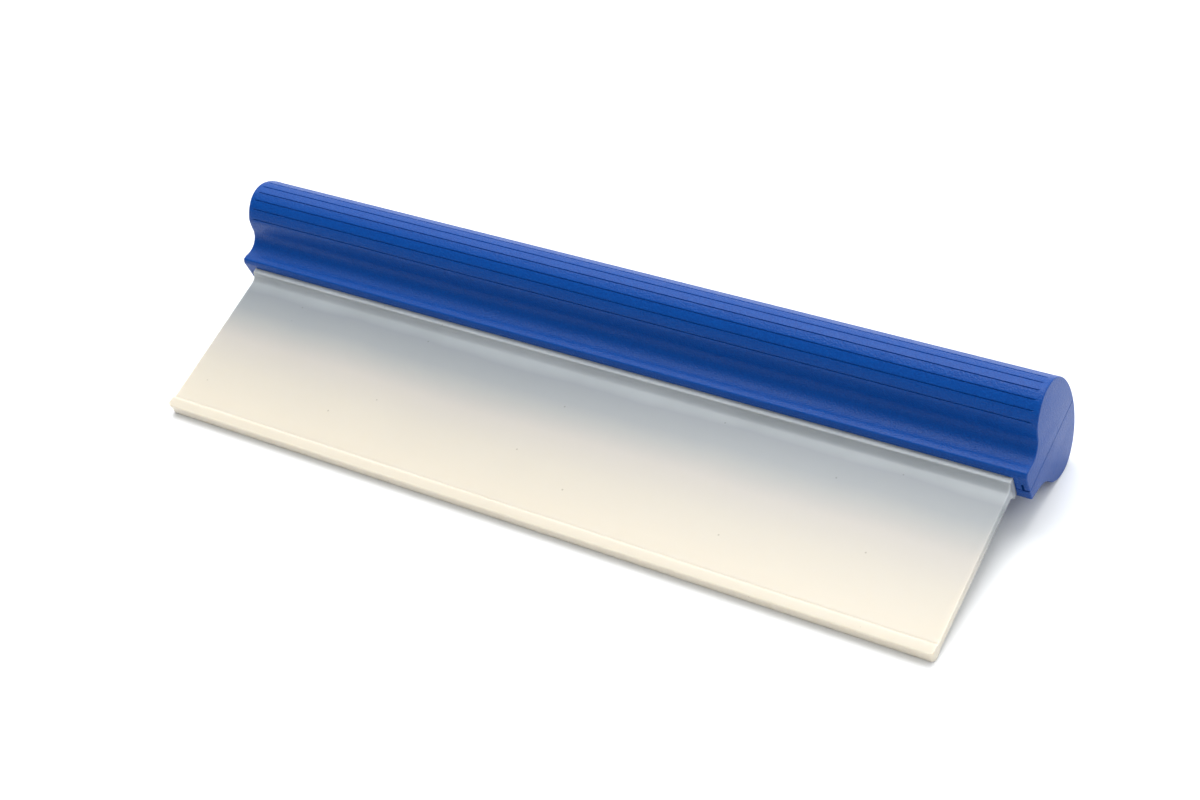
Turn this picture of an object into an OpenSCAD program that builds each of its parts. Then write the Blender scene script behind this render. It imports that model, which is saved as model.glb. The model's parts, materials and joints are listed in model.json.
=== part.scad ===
// Silicone water blade squeegee: two moulded shells clamp a translucent blade along one jaw.
// It lies as it is put down: the round head and the wiping edge both touch the ground.
// Every sub-part is drawn lying flat, x along the blade, y across it and z along the handle.
// The origin there is the middle of the head, and placed() turns it all onto the ground.

/* [Handle] */
// Length of the handle along its jaw
handle_length = 305; // [220:5:400]
// Size of the ribbed head across the blade
head_height = 44.6; // [42:0.2:48]
// Size of the ribbed head along the blade
head_depth = 27.2; // [26:0.2:30]
// How far the head leans towards the jaw, in degrees
head_lean = 2.4; // [0:0.2:4]
// Flat facets on each half of the head
facets = 10; // [7:1:14]
// Depth of the fine groove between two facets
groove_depth = 0.35; // [0.2:0.05:0.6]
// Smooth margin at each end, where the facets stop
end_margin = 2.2; // [2:0.1:6]
// Wall of the hollow head
wall = 2.6; // [2:0.1:3]
// How far the parting line lies below the middle of the head
parting_drop = 2; // [1:0.25:2.5]

/* [Jaw] */
// Distance from the middle of the head to the jaw's face
jaw_reach = 21.7; // [21:0.1:23]
// Height of the flared ridge above the middle of the head
ridge_height = 6.8; // [6.4:0.1:7.6]
// Half height of the jaw's mouth
mouth_height = 4.8; // [4.5:0.05:5]
// Closed length of the jaw at each end of the blade
jaw_end = 4.6; // [4:0.1:7]

/* [Blade] */
// Distance from the middle of the head to the wiping edge
edge_reach = 83; // [70:0.5:110]
// How far the blade lies below the middle of the head
blade_drop = 1; // [0.6:0.1:1.1]
// Thickness of the web where it leaves the root
web_root = 3.6; // [3:0.1:3.8]
// Thickness of the web behind the wiping edge
web_tip = 3.2; // [2.4:0.1:3.6]
// Height of the T-shaped wiping edge
edge_height = 5; // [4:0.1:6]
// Depth of the T-shaped wiping edge
edge_depth = 3.6; // [3:0.1:5]
// Radius of the blade's two outer corners
corner_r = 1.5; // [1:0.5:6]

/* [Screws] */
// Screws that clamp the two shells
screw_count = 6; // [4:1:7]
// Distance from one screw to the next
screw_pitch = 50; // [40:1:52]
// Shank radius of a screw
screw_r = 1.4; // [1.2:0.05:1.5]
// Head radius of a screw
screw_head_r = 2.8; // [2.5:0.05:2.9]

/* [Hidden] */
$fn = 48;

HANDLE_BLUE = [0.05, 0.2, 0.62];
SILICONE = [0.93, 0.91, 0.86];
STEEL = [0.7, 0.71, 0.73];

far = 60;                        // longer than any cut needs
half_a = head_depth / 2;         // head ellipse, along the blade
half_b = head_height / 2;        // head ellipse, across the blade
mouth_length = handle_length - 2 * jaw_end;
end_play = 0.3;                  // the blade is this much shorter than its mouth
blade_length = mouth_length - end_play;

// Waist: the head bends into a concave arc that flares to the ridge above the jaw
waist_angle = 50;                // where the facets end and the head leaves its ellipse
waist_centre = [16.7, 12.2];
waist_r = 5.9;
waist_from = 185;
waist_to = 295;
waist_bend = [10.26, 15.47];     // where the head's tangent meets the arc's
ridge_u = jaw_reach - 1;
lip_height = 5.6;                // top of the jaw's face

// Under the waist a wide arc runs out into the flank below the jaw
under_angle = 46;
under_centre = [21.3, -20.6];
under_to = 105;
under_lip = 6.6;

// Root of the blade: a plug in the mouth and a slab that the screws' bosses pass through
plug_back = jaw_reach - 1.8;
plug_front = jaw_reach + 2;
plug_height = mouth_height - 0.05;
slab_half = 3;
slab_back = -1;
stub_half = 2.4;                 // half thickness where the root's fillet ends
stub_front = jaw_reach + 5.9;
hinge_u = stub_front + 0.8;      // the web bends about this line
seat_gap = 0.25;                 // room around the web's round end, and around the root's slab
slab_gap = 0.1;

// Hollow head: bays with a rib between them, closed in front by a wall that carries the jaw
rib = 2;
hollow_front = 8.2;

// Screw columns
boss_u = 5;
boss_r = 3.4;
boss_hole_r = 3.8;
pillar_r = 5.2;
pillar_top = -6;
seat_v = -9;                     // the screw head's seat
screw_length = 14;
screw_head_h = 2.2;
thread_gap = 0.02;
shank_gap = 0.3;
head_gap = 0.4;
recess_span = 3.2;
recess_width = 0.7;
recess_depth = 1;

// Interlock of the shells at each closed end of the jaw
tongue_rise = 2.8;
tongue_gap = 0.45;
tongue_width = 2.3;

// ---- outlines ----

function leaned(p) = [p[0] * cos(head_lean) + p[1] * sin(head_lean),
                      p[1] * cos(head_lean) - p[0] * sin(head_lean)];
function ellipse_at(t, inset = 0) = leaned([(half_a - inset) * cos(t), (half_b - inset) * sin(t)]);
function on_circle(c, r, t) = c + r * [cos(t), sin(t)];
function bent(p, q, r, t) = (1 - t) * (1 - t) * p + 2 * t * (1 - t) * q + t * t * r;
facet_step = (180 - waist_angle) / facets;
groove_half = 0.9;               // half width of a groove, in degrees of the ellipse

// Upper half of the head, from its back to the waist: flats with a notch between them
function head_flats(s) = [
    for (i = [0:facets])
        let (t = 180 - i * facet_step)
            for (k = [-1, 0, 1])
                if ((i > 0 || k > 0) && (i < facets || k < 0))
                    ellipse_at(s * (t - k * groove_half), k == 0 ? groove_depth : 0)
];
function head_round(s) = [for (i = [1:36]) ellipse_at(s * (180 - i * (180 - waist_angle) / 36))];

top_join = ellipse_at(waist_angle);
waist_start = on_circle(waist_centre, waist_r, waist_from);
top_waist = concat(
    [for (i = [1:5]) bent(top_join, waist_bend, waist_start, i / 6)],
    [for (i = [0:12]) on_circle(waist_centre, waist_r, waist_from + i * (waist_to - waist_from) / 12)]
);

low_join = ellipse_at(-under_angle);
low_r = norm(low_join - under_centre);
low_from = atan2(low_join[1] - under_centre[1], low_join[0] - under_centre[0]);
low_waist = [for (i = [0:8]) on_circle(under_centre, low_r, low_from + i * (under_to - low_from) / 8)];

function outline(grooved) = concat(
    grooved ? head_flats(1) : concat([[-half_a, 0]], head_round(1)),
    top_waist,
    [[ridge_u, ridge_height], [ridge_u + 0.6, ridge_height - 0.4], [jaw_reach, lip_height],
     [jaw_reach, -under_lip + 0.3], [jaw_reach - 0.4, -under_lip]],
    [for (i = [8:-1:0]) low_waist[i]],
    let (low = grooved ? head_flats(-1) : head_round(-1))
        [for (i = [len(low) - 1:-1:0]) low[i]]
);

// Pose on the ground: turn until the head and the wiping edge are level
function head_drop(t) = norm([half_b * cos(t + head_lean), half_a * sin(t + head_lean)]);
function level_tilt(t, n) = n == 0 ? t
    : level_tilt(asin((head_drop(t) - (blade_drop + edge_height / 2) * cos(t)) / edge_reach), n - 1);
tilt = level_tilt(13, 6);
function forward(p) = p[0] * cos(tilt) + p[1] * sin(tilt);
function height(p) = p[1] * cos(tilt) - p[0] * sin(tilt);
shift_z = -min([for (p = outline(true)) height(p)]);
shift_y = (min([for (p = outline(false)) forward(p)])
           + forward([edge_reach, edge_height / 2 - blade_drop])) / 2;

module head_oval(inset) {
    polygon([for (t = [0:7.5:359]) ellipse_at(t, inset)]);
}

module head_hollow() {
    intersection() {
        head_oval(wall);
        translate([-far, -far])
            square([far + hollow_front, 2 * far]);
    }
}

// ---- helpers ----

module placed() {
    translate([0, shift_y, shift_z])
        rotate([tilt, 0, 0])
            rotate([90, 0, -90])
                children();
}

module blade_placed() {
    placed()
        translate([0, -blade_drop, 0])
            children();
}

module along(length, at = 0) {
    translate([0, 0, at])
        linear_extrude(height = length, center = true)
            children();
}

module column(r, from, to) {
    translate([boss_u, from, 0])
        rotate([-90, 0, 0])
            cylinder(r = r, h = to - from);
}

module at_screws() {
    for (i = [1:screw_count])
        translate([0, 0, screw_at(i)])
            children();
}

function screw_at(i) = (i - (screw_count + 1) / 2) * screw_pitch;

// ---- shells ----

module handle_solid() {
    along(handle_length - 2 * end_margin)
        polygon(outline(true));
    for (s = [-1, 1])
        along(end_margin, s * (handle_length - end_margin) / 2)
            polygon(outline(false));
}

// Hollow bays between the ribs, then the room for the blade's root
module shell_hollow() {
    for (i = [1:screw_count])
        along(screw_pitch - rib, screw_at(i))
            head_hollow();
    along(mouth_length)
        translate([slab_back - seat_gap, -blade_drop - slab_half - slab_gap])
            square([far, 2 * (slab_half + slab_gap)]);
    along(mouth_length)
        translate([plug_back - slab_gap, -blade_drop - mouth_height])
            square([far, 2 * mouth_height]);
}

// The lower shell's tongue stands above the parting line at both ends of the jaw
module tongue(gap) {
    width = tongue_width + gap;
    for (s = [-1, 1])
        along(width, s * (mouth_length / 2 + width / 2))
            translate([plug_back - gap, -parting_drop - 1])
                square([far, tongue_rise + parting_drop + 1 + gap]);
}

module above_parting() {
    along(handle_length + 2)
        translate([-far, -parting_drop])
            square([2 * far, far]);
}

module upper_shell() {
    color(HANDLE_BLUE)
        placed()
            difference() {
                union() {
                    difference() {
                        intersection() {
                            handle_solid();
                            above_parting();
                        }
                        shell_hollow();
                        tongue(tongue_gap);
                    }
                    intersection() {
                        at_screws()
                            column(boss_r, -parting_drop, half_b);
                        along(handle_length - 2 * end_margin)
                            head_oval(wall / 2);
                    }
                }
                at_screws()
                    column(screw_r + thread_gap, -parting_drop - 1, seat_v + screw_length + 2);
            }
}

module lower_shell() {
    color(HANDLE_BLUE)
        placed()
            difference() {
                union() {
                    difference() {
                        handle_solid();
                        difference() {
                            above_parting();
                            tongue(0);
                        }
                        shell_hollow();
                    }
                    at_screws()
                        column(boss_r, pillar_top - 1, -parting_drop);
                    intersection() {
                        at_screws()
                            column(pillar_r, -half_b, pillar_top);
                        along(handle_length - 2 * end_margin)
                            head_oval(wall / 2);
                    }
                }
                at_screws()
                    column(screw_head_r + head_gap, -far, seat_v);
                at_screws()
                    column(screw_r + shank_gap, seat_v - 1, 1 - parting_drop);
            }
}

// ---- blade ----

module root_profile() {
    fillet = plug_height - stub_half;
    translate([slab_back, -slab_half])
        square([plug_back - slab_back + 1, 2 * slab_half]);
    translate([plug_back, -plug_height])
        square([plug_front - plug_back, 2 * plug_height]);
    difference() {
        translate([plug_front - 1, -plug_height])
            square([fillet + 1, 2 * plug_height]);
        for (s = [-1, 1])
            translate([plug_front + fillet, s * plug_height])
                circle(r = fillet);
    }
    translate([plug_front, -stub_half])
        square([stub_front - plug_front, 2 * stub_half]);
}

module blade_root() {
    color(SILICONE)
        blade_placed()
            difference() {
                along(blade_length)
                    root_profile();
                at_screws()
                    column(boss_hole_r, -far, far);
                translate([hinge_u, 0, 0])
                    cylinder(r = web_root / 2 + seat_gap, h = handle_length, center = true);
            }
}

module web_profile() {
    neck = edge_reach - edge_depth;
    polygon([
        [hinge_u, web_root / 2], [neck - 0.7, web_tip / 2], [neck + 0.3, edge_height / 2],
        [edge_reach, edge_height / 2], [edge_reach, -edge_height / 2],
        [neck + 0.3, -edge_height / 2], [neck - 0.7, -web_tip / 2], [hinge_u, -web_root / 2]
    ]);
}

// What the rounding takes off one outer corner, seen along the blade's thickness
module corner_cut(s) {
    side = blade_length / 2;
    difference() {
        translate([edge_reach - corner_r, s * (side - corner_r / 2 + 1)])
            square([2 * corner_r + 2, corner_r + 2], center = true);
        translate([edge_reach - corner_r, s * (side - corner_r)])
            circle(r = corner_r);
        translate([hinge_u, s * (side - corner_r)])
            square([2 * (edge_reach - corner_r - hinge_u), far], center = true);
    }
}

module blade_web() {
    color(SILICONE)
        blade_placed()
            difference() {
                union() {
                    along(blade_length)
                        web_profile();
                    translate([hinge_u, 0, 0])
                        cylinder(r = web_root / 2, h = blade_length, center = true);
                }
                for (s = [-1, 1])
                    rotate([90, 0, 0])
                        linear_extrude(height = 20, center = true)
                            corner_cut(s);
            }
}

// ---- screws ----

module shell_screw(i) {
    color(STEEL)
        placed()
            translate([0, 0, screw_at(i)])
                difference() {
                    union() {
                        column(screw_head_r, seat_v - screw_head_h, seat_v);
                        column(screw_r, seat_v - 0.1, seat_v + screw_length);
                    }
                    for (a = [0, 90])
                        translate([boss_u, seat_v - screw_head_h, 0])
                            rotate([0, a, 0])
                                cube([recess_span, 2 * recess_depth, recess_width], center = true);
                }
}

upper_shell();
lower_shell();
blade_root();
blade_web();
shell_screw(1);  // shell_screw_1
shell_screw(2);  // shell_screw_2
shell_screw(3);  // shell_screw_3
shell_screw(4);  // shell_screw_4
shell_screw(5);  // shell_screw_5
shell_screw(6);  // shell_screw_6
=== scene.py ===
"""Looks of the silicone water blade: moulded blue shells, a milky blade, a white studio floor."""

import json
import math

import bmesh
import bpy
from mathutils import Matrix, Vector

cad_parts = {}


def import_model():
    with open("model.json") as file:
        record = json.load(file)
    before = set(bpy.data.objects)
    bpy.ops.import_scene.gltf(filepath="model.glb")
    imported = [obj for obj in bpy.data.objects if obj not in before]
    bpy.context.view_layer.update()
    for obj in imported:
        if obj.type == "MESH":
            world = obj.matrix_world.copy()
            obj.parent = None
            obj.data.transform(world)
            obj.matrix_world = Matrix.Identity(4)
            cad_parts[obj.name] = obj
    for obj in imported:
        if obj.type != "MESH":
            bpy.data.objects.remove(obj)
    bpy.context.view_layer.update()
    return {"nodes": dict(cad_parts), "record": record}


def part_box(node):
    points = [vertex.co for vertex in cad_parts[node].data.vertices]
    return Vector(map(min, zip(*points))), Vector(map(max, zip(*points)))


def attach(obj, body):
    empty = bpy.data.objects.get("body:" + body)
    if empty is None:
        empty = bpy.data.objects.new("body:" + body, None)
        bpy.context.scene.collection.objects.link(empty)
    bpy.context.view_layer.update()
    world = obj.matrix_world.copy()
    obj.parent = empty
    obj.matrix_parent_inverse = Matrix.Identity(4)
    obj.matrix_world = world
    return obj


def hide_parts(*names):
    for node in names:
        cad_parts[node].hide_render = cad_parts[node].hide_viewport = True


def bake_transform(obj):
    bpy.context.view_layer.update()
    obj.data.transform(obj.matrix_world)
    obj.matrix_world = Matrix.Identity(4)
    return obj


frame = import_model()

# ---- the section's own frame, in millimetres ----
# x runs along the handle, u from the middle of the head to the wiping edge, v across the blade.
MM_PER_M = 1000
EDGE_U = 83
BLADE_V = -1
edge_mount = frame["record"]["mounts"][0]
edge_middle = Vector(edge_mount["pos_m"])
along_blade = Vector(edge_mount["axis"]).normalized()
across_blade = Vector((0, along_blade.z, -along_blade.y))
head_middle = edge_middle - (along_blade * EDGE_U + across_blade * BLADE_V) / MM_PER_M
shell_low, shell_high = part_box("upper_shell")
web_low, web_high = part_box("blade_web")
HALF_LENGTH = (shell_high.x - shell_low.x) * MM_PER_M / 2
BLADE_HALF = (web_high.x - web_low.x) * MM_PER_M / 2
TO_WORLD = Matrix(
    (
        (1 / MM_PER_M, 0, 0, head_middle.x),
        (0, -along_blade.y / MM_PER_M, across_blade.y / MM_PER_M, head_middle.y),
        (0, -along_blade.z / MM_PER_M, across_blade.z / MM_PER_M, head_middle.z),
        (0, 0, 0, 1),
    )
)


def at(x, u, v):
    """A point of the section's frame, for a mesh that placed() moves to the world later."""
    return Vector((x, -u, v))


def world(x, u, v):
    return TO_WORLD @ at(x, u, v)


# ---- the handle's section: millimetres, and degrees round the head ----
HALF_A, HALF_B = 13.6, 22.3
HEAD_LEAN = math.radians(2.4)
WALL = 2.6
FACETS = 10
WAIST_ANGLE = 50
UNDER_ANGLE = 46
FACET_STEP = (180 - WAIST_ANGLE) / FACETS
FACET_SHARES = (0.25, 0.5, 0.75)
# Keeps a point that stands exactly on a step in that step.
TINY = 1e-6
GROOVE_HALF = 0.9
GROOVE_DEPTH = 0.35
SHOULDER_DEPTH = 0.05
# A groove's points: degrees from its middle, and depth.
GROOVE = (
    (1.5, 0),
    (0.8, SHOULDER_DEPTH),
    (0.3, GROOVE_DEPTH),
    (-0.3, GROOVE_DEPTH),
    (-0.8, SHOULDER_DEPTH),
)
JAW_U = 21.7
MOUTH_V = 4.8
MOUTH_HALF = BLADE_HALF + 0.15
PARTING_V = -2

# Above the jaw: a bend that leaves the head, the hollow of the waist, a ridge and the jaw's lip.
WAIST_START = WAIST_ANGLE - 1.6
WAIST_BEND, BEND_STEPS = (10.26, 15.47), 8
HOLLOW_CENTRE, HOLLOW_R = (16.7, 12.2), 5.9
HOLLOW_FROM, HOLLOW_TO, HOLLOW_STEPS = 185, 292, 26
RIDGE, RIDGE_R, RIDGE_STEPS = (20.95, 6.85), 0.8, 6
LIP, LIP_R, LIP_STEPS = (JAW_U, 5.4), 0.6, 3
FACE_TOP = (JAW_U, 4.2)

# Below it: one long hollow, and the lower lip.
UNDER_CENTRE = (21.3, -20.6)
UNDER_TO, UNDER_STEPS = 105, 16
UNDER_LIP, UNDER_LIP_R, UNDER_LIP_STEPS = (JAW_U, -6.5), 0.9, 5
FACE_MIDDLE = (JAW_U, 0)


def oval(t, inset=0.0):
    """A point of the head's leaning oval, at t degrees from the front."""
    a = math.radians(t)
    x, y = (HALF_A - inset) * math.cos(a), (HALF_B - inset) * math.sin(a)
    c, s = math.cos(HEAD_LEAN), math.sin(HEAD_LEAN)
    return Vector((x * c + y * s, y * c - x * s))


def arc(centre, r, a0, a1, steps):
    out = []
    for i in range(steps + 1):
        a = math.radians(a0 + (a1 - a0) * i / steps)
        out.append(Vector((centre[0] + r * math.cos(a), centre[1] + r * math.sin(a))))
    return out


def curve(start, corner, end, shares):
    """Points of the curve that leaves and arrives along the two sides of a corner."""
    return [start * (1 - t) ** 2 + corner * 2 * t * (1 - t) + end * t * t for t in shares]


def fillet(before, corner, after, r, steps=4):
    """Points of the small curve that rounds a corner, with both its ends."""
    before, corner, after = Vector(before), Vector(corner), Vector(after)
    a, b = (before - corner).normalized(), (after - corner).normalized()
    reach = r / math.tan(a.angle(b) / 2)
    shares = [i / steps for i in range(steps + 1)]
    return curve(corner + a * reach, corner, corner + b * reach, shares)


def head_point(t, depth, smooth, side):
    """A point of the head: on its flat facet or in a groove, or on the oval where smooth is 1."""
    i = min(int((180 - t) / FACET_STEP + TINY), FACETS - 1)
    a, b = 180 - i * FACET_STEP - GROOVE_HALF, 180 - (i + 1) * FACET_STEP + GROOVE_HALF
    share = min(max((a - t) / (a - b), 0), 1)
    flat = oval(side * a).lerp(oval(side * b), share)
    if depth:
        flat = oval(side * t, depth)
    return flat.lerp(oval(side * t), smooth)


def head_half(smooth, side):
    """Half of the head from its back to the waist, without the point at the very back."""
    out = []
    for i in range(FACETS):
        start, end = 180 - i * FACET_STEP, 180 - (i + 1) * FACET_STEP
        for share in FACET_SHARES:
            out.append(head_point(start + (end - start) * share, 0, smooth, side))
        for offset, depth in GROOVE:
            out.append(head_point(end + offset, depth, smooth, side))
    return out


def upper_waist():
    hollow = arc(HOLLOW_CENTRE, HOLLOW_R, HOLLOW_FROM, HOLLOW_TO, HOLLOW_STEPS)
    shares = [i / BEND_STEPS for i in range(1, BEND_STEPS)]
    leave = curve(oval(WAIST_START), Vector(WAIST_BEND), hollow[0], shares)
    crest = fillet(hollow[-1], RIDGE, LIP, RIDGE_R, RIDGE_STEPS)
    lip = fillet(crest[-1], LIP, FACE_MIDDLE, LIP_R, LIP_STEPS)
    return leave + hollow + crest + lip + [Vector(FACE_TOP)]


def lower_waist():
    join, centre = oval(-UNDER_ANGLE), Vector(UNDER_CENTRE)
    start = math.degrees(math.atan2(join.y - centre.y, join.x - centre.x))
    hollow = arc(centre, (join - centre).length, start, UNDER_TO, UNDER_STEPS)
    return hollow + fillet(hollow[-1], UNDER_LIP, FACE_MIDDLE, UNDER_LIP_R, UNDER_LIP_STEPS)


def pushed_in(points, inset):
    """The closed outline moved inwards by the same amount all round."""
    out = []
    count = len(points)
    for i, p in enumerate(points):
        a = (p - points[i - 1]).normalized()
        b = (points[(i + 1) % count] - p).normalized()
        side = Vector((a.y + b.y, -a.x - b.x)).normalized()
        out.append(p + side * inset)
    return out


def handle_outline(smooth, inset=0.0):
    """The handle's closed section, with facets and grooves where smooth is 0."""
    flat_back = oval(180 - GROOVE_HALF).lerp(oval(GROOVE_HALF - 180), 0.5)
    points = [oval(180).lerp(flat_back, 1 - smooth)] + head_half(smooth, 1) + upper_waist()
    points += lower_waist()[::-1] + head_half(smooth, -1)[::-1]
    return pushed_in(points, inset) if inset else points


# ---- mesh helpers ----
# Points closer than this are one point, in millimetres: in a new solid, and after the cuts.
SAME_POINT = 0.0001
SLIVER = 0.0005
COLUMN_SIDES = 48
SCREWS = 6
SCREW_U = 5
SCREW_PITCH = 50


def faced_outwards(bm):
    bmesh.ops.recalc_face_normals(bm, faces=bm.faces)
    if bm.calc_volume(signed=True) < 0:
        bmesh.ops.reverse_faces(bm, faces=bm.faces)


def new_object(name, bm):
    faced_outwards(bm)
    mesh = bpy.data.meshes.new(name)
    bm.to_mesh(mesh)
    bm.free()
    obj = bpy.data.objects.new(name, mesh)
    bpy.context.scene.collection.objects.link(obj)
    return obj


def remove(obj):
    mesh = obj.data
    bpy.data.objects.remove(obj)
    bpy.data.meshes.remove(mesh)


def solid(name, rings):
    """A closed solid through rings that all have the same number of points."""
    bm = bmesh.new()
    loops = [[bm.verts.new(point) for point in ring] for ring in rings]
    count = len(loops[0])
    for one, two in zip(loops, loops[1:]):
        for i in range(count):
            j = (i + 1) % count
            bm.faces.new((one[i], one[j], two[j], two[i]))
    bm.faces.new(loops[0])
    bm.faces.new(loops[-1][::-1])
    bmesh.ops.remove_doubles(bm, verts=bm.verts, dist=SAME_POINT)
    return new_object(name, bm)


def loft(name, stations):
    """A solid through section outlines that stand at each x."""
    return solid(name, [[at(x, u, v) for u, v in points] for x, points in stations])


def prism(name, points, x0, x1):
    return loft(name, [(x0, points), (x1, points)])


def plan_prism(name, points, u0, u1):
    """A solid whose outline is drawn in x and v and runs along u."""
    return solid(name, [[at(x, u, v) for x, v in points] for u in (u0, u1)])


def block(name, x, u, v):
    return prism(name, [(u[0], v[0]), (u[1], v[0]), (u[1], v[1]), (u[0], v[1])], x[0], x[1])


def column(r, v0, v1, x):
    turns = [2 * math.pi * i / COLUMN_SIDES for i in range(COLUMN_SIDES)]
    circle = [(x + r * math.cos(a), SCREW_U + r * math.sin(a)) for a in turns]
    return solid("column", [[at(px, pu, v) for px, pu in circle] for v in (v0, v1)])


def joined(parts):
    """Several separate solids as one object."""
    bm = bmesh.new()
    for part in parts:
        bm.from_mesh(part.data)
        remove(part)
    return new_object("joined", bm)


def screw_x(i):
    return (i - (SCREWS - 1) / 2) * SCREW_PITCH


def columns(r, v0, v1):
    """One round column at each screw."""
    return joined([column(r, v0, v1, screw_x(i)) for i in range(SCREWS)])


def combine(obj, tool, operation="DIFFERENCE"):
    """Cuts the tool out of the object, or adds it. The tool is used up."""
    modifier = obj.modifiers.new("combine", "BOOLEAN")
    modifier.operation = operation
    modifier.solver = "EXACT"
    modifier.object = tool
    depsgraph = bpy.context.evaluated_depsgraph_get()
    mesh = bpy.data.meshes.new_from_object(obj.evaluated_get(depsgraph))
    old = obj.data
    obj.modifiers.clear()
    obj.data = mesh
    bpy.data.meshes.remove(old)
    remove(tool)
    return obj


def smoothed(obj, limit):
    """Smooth shading, with hard edges where two faces meet at more than the limit in degrees."""
    bm = bmesh.new()
    bm.from_mesh(obj.data)
    bmesh.ops.remove_doubles(bm, verts=bm.verts, dist=SLIVER)
    bmesh.ops.dissolve_degenerate(bm, edges=bm.edges, dist=SLIVER)
    faced_outwards(bm)
    for face in bm.faces:
        face.smooth = True
    for edge in bm.edges:
        edge.smooth = len(edge.link_faces) == 2 and edge.calc_face_angle(0) < math.radians(limit)
    bm.to_mesh(obj.data)
    bm.free()


def placed(obj, name, material):
    """Moves a finished mesh to the world, and gives it its name and material."""
    obj.name = name
    obj.data.name = name
    obj.data.transform(TO_WORLD)
    obj.data.materials.clear()
    obj.data.materials.append(material)


# ---- materials ----
GRAIN_SCALE, GLOSS_SCALE = 1900, 55
GRAIN_STRENGTH, GRAIN_HEIGHT = 0.9, 0.00022
BLUE_SHADES = (
    (0.3, (0.0005, 0.042, 0.232, 1)),
    (0.72, (0.001, 0.064, 0.308, 1)),
)
BLUE_ROUGHNESS = (0.3, 0.42)

# Painted shade along the blade: the colour darkens to grey-blue towards the handle for its shadow
# and the shadowed floor seen through the silicone. The lighter first stop is painted light on the
# blade's root.
PAINTED_SHADE_END_U = EDGE_U - 8
SILICONE_PAINTED_SHADE = (
    (0, (0.42, 0.445, 0.465, 1)),
    (0.13, (0.25, 0.27, 0.285, 1)),
    (0.27, (0.3, 0.315, 0.32, 1)),
    (0.52, (0.49, 0.458, 0.415, 1)),
    (0.75, (0.57, 0.525, 0.448, 1)),
    (1, (0.632, 0.575, 0.478, 1)),
)
SILICONE_ROUGHNESS = (0.29, 0.37)
CLOUD_SCALE = 28
CLOUD_SHIFT = 0.04
SPECK_SCALE = 110.0
SPECK_REACH = (0.03, 0.045)
SPECK_SHARE = 0.5
SPECK_TINT = (0.45, 0.42, 0.36, 1)
# The mix node's own places for its colours.
MIX_A, MIX_B, MIX_RESULT = 6, 7, 2

SCRATCH_SCALE = 1500
STEEL_SHADES = ((0, (0.45, 0.46, 0.47, 1)), (1, (0.66, 0.67, 0.68, 1)))
STEEL_ROUGHNESS = (0.25, 0.4)


def shader(name):
    material = bpy.data.materials.new(name)
    material.use_nodes = True
    tree = material.node_tree
    return material, tree, tree.nodes["Principled BSDF"]


def node(tree, kind, **values):
    """A new node. A value is an input's default, or else one of the node's settings."""
    made = tree.nodes.new(kind)
    for key, value in values.items():
        if key in made.inputs:
            made.inputs[key].default_value = value
        else:
            setattr(made, key, value)
    return made


def set_inputs(target, values):
    for key, value in values.items():
        target.inputs[key].default_value = value


def grain(tree, coords, scale, detail):
    noise = node(tree, "ShaderNodeTexNoise", Scale=scale, Detail=detail)
    tree.links.new(coords.outputs["Object"], noise.inputs["Vector"])
    return noise.outputs["Fac"]


def ranged(tree, source, to, span=(0.0, 1.0)):
    """The source's span spread over another range of values."""
    remap = node(tree, "ShaderNodeMapRange")
    set_inputs(remap, {"From Min": span[0], "From Max": span[1], "To Min": to[0], "To Max": to[1]})
    tree.links.new(source, remap.inputs["Value"])
    return remap.outputs["Result"]


def shaded(tree, source, stops):
    """A colour that follows the source through its stops, each a position and a colour."""
    ramp = node(tree, "ShaderNodeValToRGB")
    elements = ramp.color_ramp.elements
    first, *middle, last = stops
    elements[0].position, elements[0].color = first
    elements[1].position, elements[1].color = last
    for position, colour in middle:
        elements.new(position).color = colour
    tree.links.new(source, ramp.inputs["Fac"])
    return ramp.outputs["Color"]


def handle_plastic():
    """Blue plastic from a spark-eroded mould, with a fine grain and slightly uneven gloss."""
    material, tree, principled = shader("handle_plastic")
    coords = node(tree, "ShaderNodeTexCoord")
    fine = grain(tree, coords, GRAIN_SCALE, detail=2.0)
    broad = grain(tree, coords, GLOSS_SCALE, detail=2.0)
    bump = node(tree, "ShaderNodeBump", Strength=GRAIN_STRENGTH, Distance=GRAIN_HEIGHT)
    tree.links.new(fine, bump.inputs["Height"])
    tree.links.new(shaded(tree, fine, BLUE_SHADES), principled.inputs["Base Color"])
    tree.links.new(ranged(tree, broad, BLUE_ROUGHNESS), principled.inputs["Roughness"])
    tree.links.new(bump.outputs["Normal"], principled.inputs["Normal"])
    set_inputs(principled, {"IOR": 1.5, "Specular IOR Level": 0.2})
    return material


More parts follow.
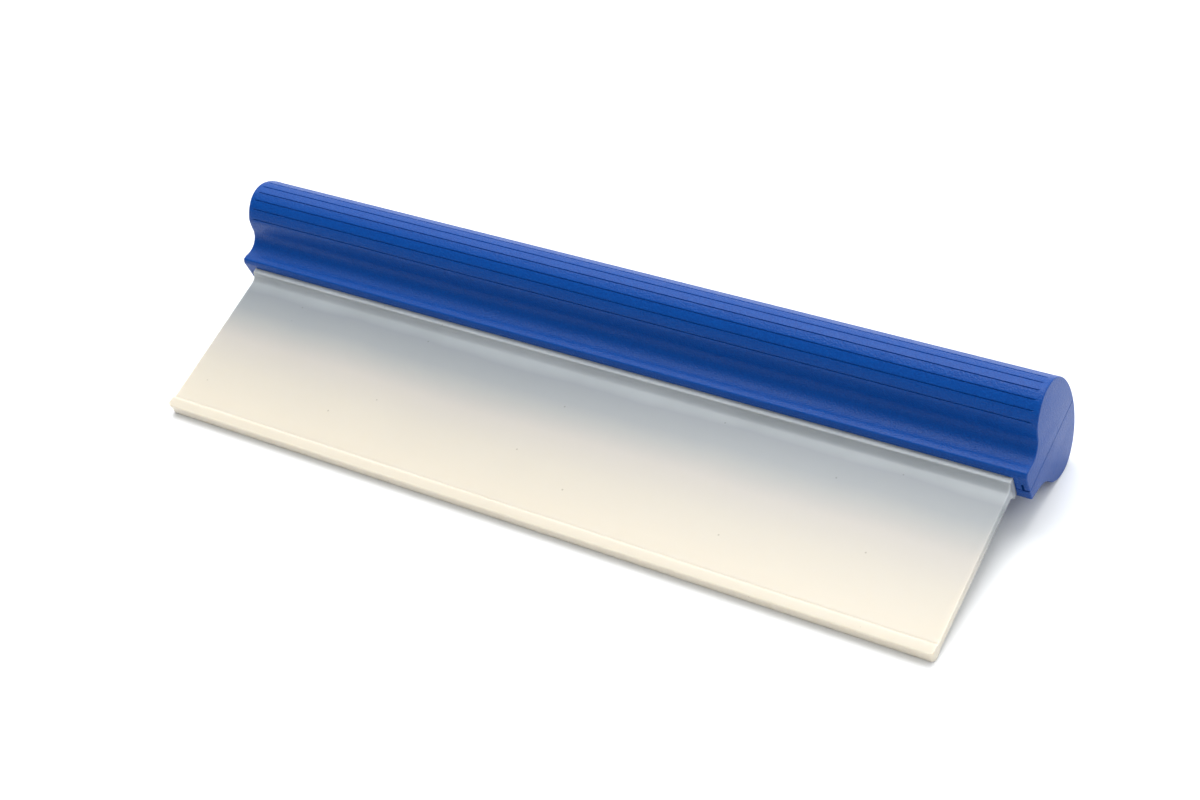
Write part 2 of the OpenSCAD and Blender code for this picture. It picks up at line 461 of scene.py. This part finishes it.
def silicone():
    """Milky silicone with painted shade: grey-blue by the handle for its shadow, then cream."""
    material, tree, principled = shader("silicone")
    coords = node(tree, "ShaderNodeTexCoord")
    split = node(tree, "ShaderNodeSeparateXYZ")
    tree.links.new(coords.outputs["Object"], split.inputs["Vector"])
    # Where the painted shade runs: from the front of the plug to near the wiping edge.
    span = (world(0, PLUG_FRONT, 0).y, world(0, PAINTED_SHADE_END_U, 0).y)
    share = ranged(tree, split.outputs["Y"], (0, 1), span)
    cloud = grain(tree, coords, CLOUD_SCALE, detail=3.0)
    total = node(tree, "ShaderNodeMath", operation="ADD")
    tree.links.new(share, total.inputs[0])
    tree.links.new(ranged(tree, cloud, (-CLOUD_SHIFT, CLOUD_SHIFT)), total.inputs[1])
    specks = node(tree, "ShaderNodeTexVoronoi", Scale=SPECK_SCALE)
    tree.links.new(coords.outputs["Object"], specks.inputs["Vector"])
    spot = ranged(tree, specks.outputs["Distance"], (SPECK_SHARE, 0.0), SPECK_REACH)
    spotted = node(tree, "ShaderNodeMix", data_type="RGBA", blend_type="MULTIPLY")
    tree.links.new(spot, spotted.inputs["Factor"])
    tree.links.new(shaded(tree, total.outputs["Value"], SILICONE_PAINTED_SHADE), spotted.inputs[MIX_A])
    spotted.inputs[MIX_B].default_value = SPECK_TINT
    tree.links.new(spotted.outputs[MIX_RESULT], principled.inputs["Base Color"])
    tree.links.new(ranged(tree, cloud, SILICONE_ROUGHNESS), principled.inputs["Roughness"])
    set_inputs(
        principled,
        {
            "IOR": 1.41,
            "Subsurface Weight": 1.0,
            "Subsurface Radius": (1.0, 0.95, 0.85),
            "Subsurface Scale": 0.0025,
        },
    )
    return material


def screw_steel():
    material, tree, principled = shader("screw_steel")
    coords = node(tree, "ShaderNodeTexCoord")
    scratch = grain(tree, coords, SCRATCH_SCALE, detail=3.0)
    tree.links.new(shaded(tree, scratch, STEEL_SHADES), principled.inputs["Base Color"])
    tree.links.new(ranged(tree, scratch, STEEL_ROUGHNESS), principled.inputs["Roughness"])
    set_inputs(principled, {"Metallic": 1.0})
    return material


# ---- shells ----
END_ROUND, END_TURNS = 0.45, (0, 22.5, 45, 67.5, 90)
# How far from the ends the grooves begin, and where they are at their full depth.
GROOVE_END = 1.9
GROOVE_FULL = 2.6
SHELL_CREASE = 32

# Lengths that only have to reach past the handle, to its sides and to its ends.
FAR = 60
PAST_END = 200

BAY_FRONT = 8.2
BAY_HALF = 24
BAY_STEP = 8
SLAB_BACK, SLAB_V = -1, 3
PLUG_BACK, PLUG_FRONT = JAW_U - 1.8, JAW_U + 1.9
ROOM_BACK, ROOM_FRONT, ROOM_V = SLAB_BACK - 0.25, JAW_U - 1.9, SLAB_V + 0.1

SEAM_HALF = 0.14
SEAM_DEPTH = 0.5
JAW_SEAM_DEPTH = 0.2
SEAM_CORE_V = 9
TONGUE_X = 150.2
TONGUE_U = 19.45
TONGUE_TOP = 0.8
TONGUE_GAP = 0.08
# The L beside the blade: its stem, then its foot.
STEM_X, STEM_END, STEM_TOP = 150.05, 150.8, 1
FOOT_END, FOOT_BOTTOM, FOOT_TOP = 152.3, -2.4, -1.6
SLOT_BACK, SLOT_FRONT = JAW_U - 2, JAW_U + 1

# The screw columns: bosses above the parting line, necks and wider pillars below it.
COLUMN_GAP = 0.01
BOSS_R, BOSS_TOP = 3.4, 30
PILLAR_R, PILLAR_TOP, PILLAR_FOOT = 5.2, -6, -30
NECK_FOOT = -7
PILOT_R, PILOT_FOOT, PILOT_TOP = 1.42, -4, 7
HEAD_BORE_R, HEAD_BORE_FOOT, HEAD_BORE_TOP = 3.2, -40, -9
SHANK_R, SHANK_FOOT, SHANK_TOP = 1.7, -12, 0


def handle_body(name):
    stations = []
    for a in END_TURNS:
        inward = END_ROUND * (1 - math.cos(math.radians(a)))
        inset = END_ROUND * (1 - math.sin(math.radians(a)))
        stations.append((HALF_LENGTH - inward, handle_outline(1, inset)))
    stations.append((HALF_LENGTH - GROOVE_END, handle_outline(1)))
    stations.append((HALF_LENGTH - GROOVE_FULL, handle_outline(0)))
    mirrored = [(-x, points) for x, points in reversed(stations)]
    return loft(name, stations + mirrored)


def bays():
    """Hollow room in the head between the ribs."""
    points = [oval(t, WALL) for t in range(0, 360, BAY_STEP)]
    points = [Vector((min(p.x, BAY_FRONT), p.y)) for p in points]
    middles = [screw_x(i) for i in range(SCREWS)]
    return joined([prism("bay", points, x - BAY_HALF, x + BAY_HALF) for x in middles])


def root_room():
    """Room for the blade's root: a slot behind the mouth, and the mouth itself."""
    upper = [(ROOM_BACK, ROOM_V), (ROOM_FRONT, ROOM_V), (ROOM_FRONT, MOUTH_V), (FAR, MOUTH_V)]
    points = [(u, v + BLADE_V) for u, v in upper] + [(u, BLADE_V - v) for u, v in upper[::-1]]
    return prism("root_room", points, -MOUTH_HALF, MOUTH_HALF)


def seam():
    """A narrow groove round the outside, where the two shells meet."""
    height = (PARTING_V - SEAM_HALF, PARTING_V + SEAM_HALF)
    around = block("around", (-FAR * 4, FAR * 4), (-FAR, FAR), height)
    inner_x = HALF_LENGTH - SEAM_DEPTH
    inner_u = (-HALF_A + SEAM_DEPTH, JAW_U - JAW_SEAM_DEPTH)
    core = block("core", (-inner_x, inner_x), inner_u, (-SEAM_CORE_V, SEAM_CORE_V))
    return combine(around, core)


def tongue_slots():
    """The open end of the interlock, seen on the jaw beside each end of the blade."""
    outline = [(STEM_X, FOOT_BOTTOM), (FOOT_END, FOOT_BOTTOM), (FOOT_END, FOOT_TOP)]
    outline += [(STEM_END, FOOT_TOP), (STEM_END, STEM_TOP), (STEM_X, STEM_TOP)]
    parts = []
    for side in (-1, 1):
        turned = [(side * x, v) for x, v in outline]
        parts.append(plan_prism("slot", turned, SLOT_BACK, SLOT_FRONT))
    return joined(parts)


def above_parting(gap):
    """Everything above the parting line, less the tongues that stand up at both ends of the jaw."""
    rise, tip = TONGUE_TOP + gap, TONGUE_X + gap
    outline = [(-PAST_END, FAR), (-PAST_END, PARTING_V), (-tip, PARTING_V), (-tip, rise)]
    outline += [(-MOUTH_HALF, rise), (-MOUTH_HALF, PARTING_V)]
    outline += [(-x, v) for x, v in reversed(outline)]
    front = plan_prism("front", outline, TONGUE_U, FAR)
    rear = block("rear", (-PAST_END, PAST_END), (-FAR, TONGUE_U), (PARTING_V, FAR))
    return front, rear


def below_parting(gap):
    """Everything below the same line, with the tongues and a gap round them."""
    x, u = PAST_END - 1, FAR - 1
    room = block("room", (-x, x), (-u, u), (-FAR, u))
    for part in above_parting(gap):
        combine(room, part)
    return room


def shell_room(column_parts):
    """What is hollow in a shell, with its screw columns left standing."""
    room = combine(bays(), root_room(), "UNION")
    for part in column_parts:
        combine(room, part)
    return room


def make_upper_shell():
    shell = handle_body("upper")
    combine(shell, shell_room([columns(BOSS_R, PARTING_V + COLUMN_GAP, BOSS_TOP)]))
    combine(shell, below_parting(TONGUE_GAP))
    combine(shell, columns(PILOT_R, PILOT_FOOT, PILOT_TOP))
    combine(shell, seam())
    combine(shell, tongue_slots())
    smoothed(shell, SHELL_CREASE)
    placed(shell, "upper_shell_skin", BLUE)
    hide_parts("upper_shell")
    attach(shell, "handle")


def make_lower_shell():
    shell = handle_body("lower")
    neck = columns(BOSS_R, NECK_FOOT, PARTING_V - COLUMN_GAP)
    combine(shell, shell_room([neck, columns(PILLAR_R, PILLAR_FOOT, PILLAR_TOP)]))
    for part in above_parting(0):
        combine(shell, part)
    combine(shell, columns(HEAD_BORE_R, HEAD_BORE_FOOT, HEAD_BORE_TOP))
    combine(shell, columns(SHANK_R, SHANK_FOOT, SHANK_TOP))
    combine(shell, seam())
    combine(shell, tongue_slots())
    smoothed(shell, SHELL_CREASE)
    placed(shell, "lower_shell_skin", BLUE)
    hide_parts("lower_shell")
    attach(shell, "handle")


# ---- blade ----
PLUG_V, PLUG_ROUND = MOUTH_V - 0.2, 0.45
PLUG_SIDE = (PLUG_FRONT + 0.05, PLUG_V - 2)
# The web: its thickness, and how soon it leaves the round hollow in front of the plug.
WEB_ROOT_V, WEB_TIP_V = 1.8, 1.6
WEB_STEPS = 25
ROOT_FADE = 2.0
SEAT_R = PLUG_V - WEB_ROOT_V - 0.1
SEAT_CENTRE = (PLUG_FRONT + SEAT_R + 0.02, PLUG_V)
SEAT_FROM, SEAT_TO, SEAT_STEPS = 187, 266, 14
# The neck behind the T, and the T itself.
NECK_U, NECK_ROUND = EDGE_U - 4.35, 0.8
EDGE_BACK_U, EDGE_BACK_ROUND = NECK_U + 0.8, 0.5
EDGE_V, EDGE_ROUND = 2.5, 0.45
EDGE_FLAT_V = 1.2
CORNER_R, CORNER_TURNS = 1.5, (40, 50, 60, 70, 80, 90)
SIDE_ROUND, SIDE_TURNS = 0.2, (0, 30, 60, 90)
PLAIN_STATIONS = (120, 80, 40)
ROOT_HOLE_R = 3.8
BLADE_CREASE = 40


def blade_half():
    """Upper half of the blade's section, from the back of its slab to the wiping edge."""
    plug_back, plug_front = (PLUG_BACK, PLUG_V), (PLUG_FRONT, PLUG_V)
    points = [Vector((SLAB_BACK, SLAB_V)), Vector((PLUG_BACK, SLAB_V)), Vector(plug_back)]
    points += fillet(plug_back, plug_front, PLUG_SIDE, PLUG_ROUND)
    points += arc(SEAT_CENTRE, SEAT_R, SEAT_FROM, SEAT_TO, SEAT_STEPS)
    start = points[-1]
    for i in range(1, WEB_STEPS):
        share = i / WEB_STEPS
        u = start.x + (NECK_U - start.x) * share
        ease = math.exp(-(u - start.x) / ROOT_FADE)
        taper = WEB_ROOT_V + (WEB_TIP_V - WEB_ROOT_V) * share
        points.append(Vector((u, taper + (start.y - WEB_ROOT_V) * ease)))
    neck, edge_back, edge_top = (NECK_U, WEB_TIP_V), (EDGE_BACK_U, EDGE_V), (EDGE_U, EDGE_V)
    points += fillet((NECK_U - 2, WEB_TIP_V), neck, edge_back, NECK_ROUND)
    points += fillet(neck, edge_back, edge_top, EDGE_BACK_ROUND)
    points += fillet(edge_back, edge_top, (EDGE_U, 0), EDGE_ROUND)
    points.append(Vector((EDGE_U, EDGE_FLAT_V)))
    return points


def blade_outline(reach, inset=0.0):
    """The blade's closed section, cut short at its reach."""
    upper = blade_half()
    points = upper + [Vector((p.x, -p.y)) for p in reversed(upper)]
    if inset:
        points = pushed_in(points, inset)
    return [Vector((min(p.x, reach - inset), p.y + BLADE_V)) for p in points]


def corner_reach(off):
    """How far the blade reaches at this distance outwards from where its corner starts."""
    return EDGE_U - CORNER_R + math.sqrt(max(CORNER_R**2 - off**2, 0))


def blade_body():
    stations = []
    for a in SIDE_TURNS:
        inward = SIDE_ROUND * (1 - math.cos(math.radians(a)))
        inset = SIDE_ROUND * (1 - math.sin(math.radians(a)))
        reach = corner_reach(CORNER_R - inward)
        stations.append((BLADE_HALF - inward, blade_outline(reach, inset)))
    for a in CORNER_TURNS:
        off = CORNER_R * math.cos(math.radians(a))
        stations.append((BLADE_HALF - CORNER_R + off, blade_outline(corner_reach(off))))
    stations += [(x, blade_outline(EDGE_U)) for x in PLAIN_STATIONS]
    mirrored = [(-x, points) for x, points in reversed(stations)]
    return loft("blade", stations + [(0, blade_outline(EDGE_U))] + mirrored)


def make_blade():
    blade = blade_body()
    combine(blade, columns(ROOT_HOLE_R, -FAR, FAR))
    smoothed(blade, BLADE_CREASE)
    placed(blade, "silicone_blade", MILKY)
    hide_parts("blade_root", "blade_web")
    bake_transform(blade)


BLUE = handle_plastic()
MILKY = silicone()
STEEL = screw_steel()
make_upper_shell()
make_lower_shell()
make_blade()
for name, obj in frame["nodes"].items():
    if name.startswith("shell_screw"):
        obj.data.materials.clear()
        obj.data.materials.append(STEEL)


# ---- floor, light and camera, in metres ----
FLOOR_HALF = 3
PAPER = (0.92, 0.92, 0.92, 1)
BRIGHT_SIDE = (0.2, 0.65, 0.75)
SKY_SPAN, SKY_STRENGTH = (0.05, 0.85), (0.12, 1.5)
SKY_COLOUR = (0.94, 0.975, 1, 1)
SOFTBOX_PLACE, SOFTBOX_SIZE, SOFTBOX_POWER = (-0.15, 0.5, 1.4), (1.2, 1.0), 20
FILL_PLACE, FILL_SIZE, FILL_POWER = (0.2, -1.3, 0.45), (1.6, 0.5), 6
CAMERA_PLACE = Vector((0.3373, -0.38151, 0.46962))
CAMERA_AIM = Vector((0.01136, -0.0036, 0.02051))
CAMERA_ROLL = -13.942
CAMERA_LENS = 62.09
CAMERA_SENSOR = 36


def make_floor():
    bm = bmesh.new()
    bmesh.ops.create_grid(bm, x_segments=1, y_segments=1, size=FLOOR_HALF)
    floor = new_object("floor", bm)
    material, tree, principled = shader("floor_paper")
    set_inputs(principled, {"Base Color": PAPER, "Roughness": 0.9, "Specular IOR Level": 0.0})
    floor.data.materials.append(material)


def area_light(name, place, size, power):
    """A light that looks at the middle of the object."""
    light = bpy.data.lights.new(name, "AREA")
    light.shape = "RECTANGLE"
    light.size, light.size_y = size
    light.energy = power
    obj = bpy.data.objects.new(name, light)
    obj.location = place
    obj.rotation_euler = (-Vector(place)).to_track_quat("-Z", "Y").to_euler()
    bpy.context.scene.collection.objects.link(obj)
    return obj


def make_studio():
    """A sky that is bright behind and above, a softbox, and a weak light from the front."""
    studio = bpy.data.worlds.new("studio")
    studio.use_nodes = True
    tree = studio.node_tree
    background = tree.nodes["Background"]
    coords = node(tree, "ShaderNodeTexCoord")
    towards = node(tree, "ShaderNodeVectorMath", operation="DOT_PRODUCT")
    tree.links.new(coords.outputs["Generated"], towards.inputs[0])
    towards.inputs[1].default_value = BRIGHT_SIDE
    strength = ranged(tree, towards.outputs["Value"], SKY_STRENGTH, SKY_SPAN)
    tree.links.new(strength, background.inputs["Strength"])
    background.inputs["Color"].default_value = SKY_COLOUR
    bpy.context.scene.world = studio
    area_light("softbox", SOFTBOX_PLACE, SOFTBOX_SIZE, SOFTBOX_POWER)
    fill = area_light("fill", FILL_PLACE, FILL_SIZE, FILL_POWER)
    fill.visible_glossy = False
    bpy.context.scene.view_settings.view_transform = "Standard"


def make_camera():
    data = bpy.data.cameras.new("camera")
    data.lens = CAMERA_LENS
    data.sensor_width = CAMERA_SENSOR
    data.clip_start = 0.01
    camera = bpy.data.objects.new("camera", data)
    level = (CAMERA_AIM - CAMERA_PLACE).to_track_quat("-Z", "Y").to_matrix()
    roll = Matrix.Rotation(math.radians(CAMERA_ROLL), 3, "Z")
    camera.matrix_world = Matrix.Translation(CAMERA_PLACE) @ (level @ roll).to_4x4()
    bpy.context.scene.collection.objects.link(camera)
    bpy.context.scene.camera = camera


make_floor()
make_studio()
make_camera()
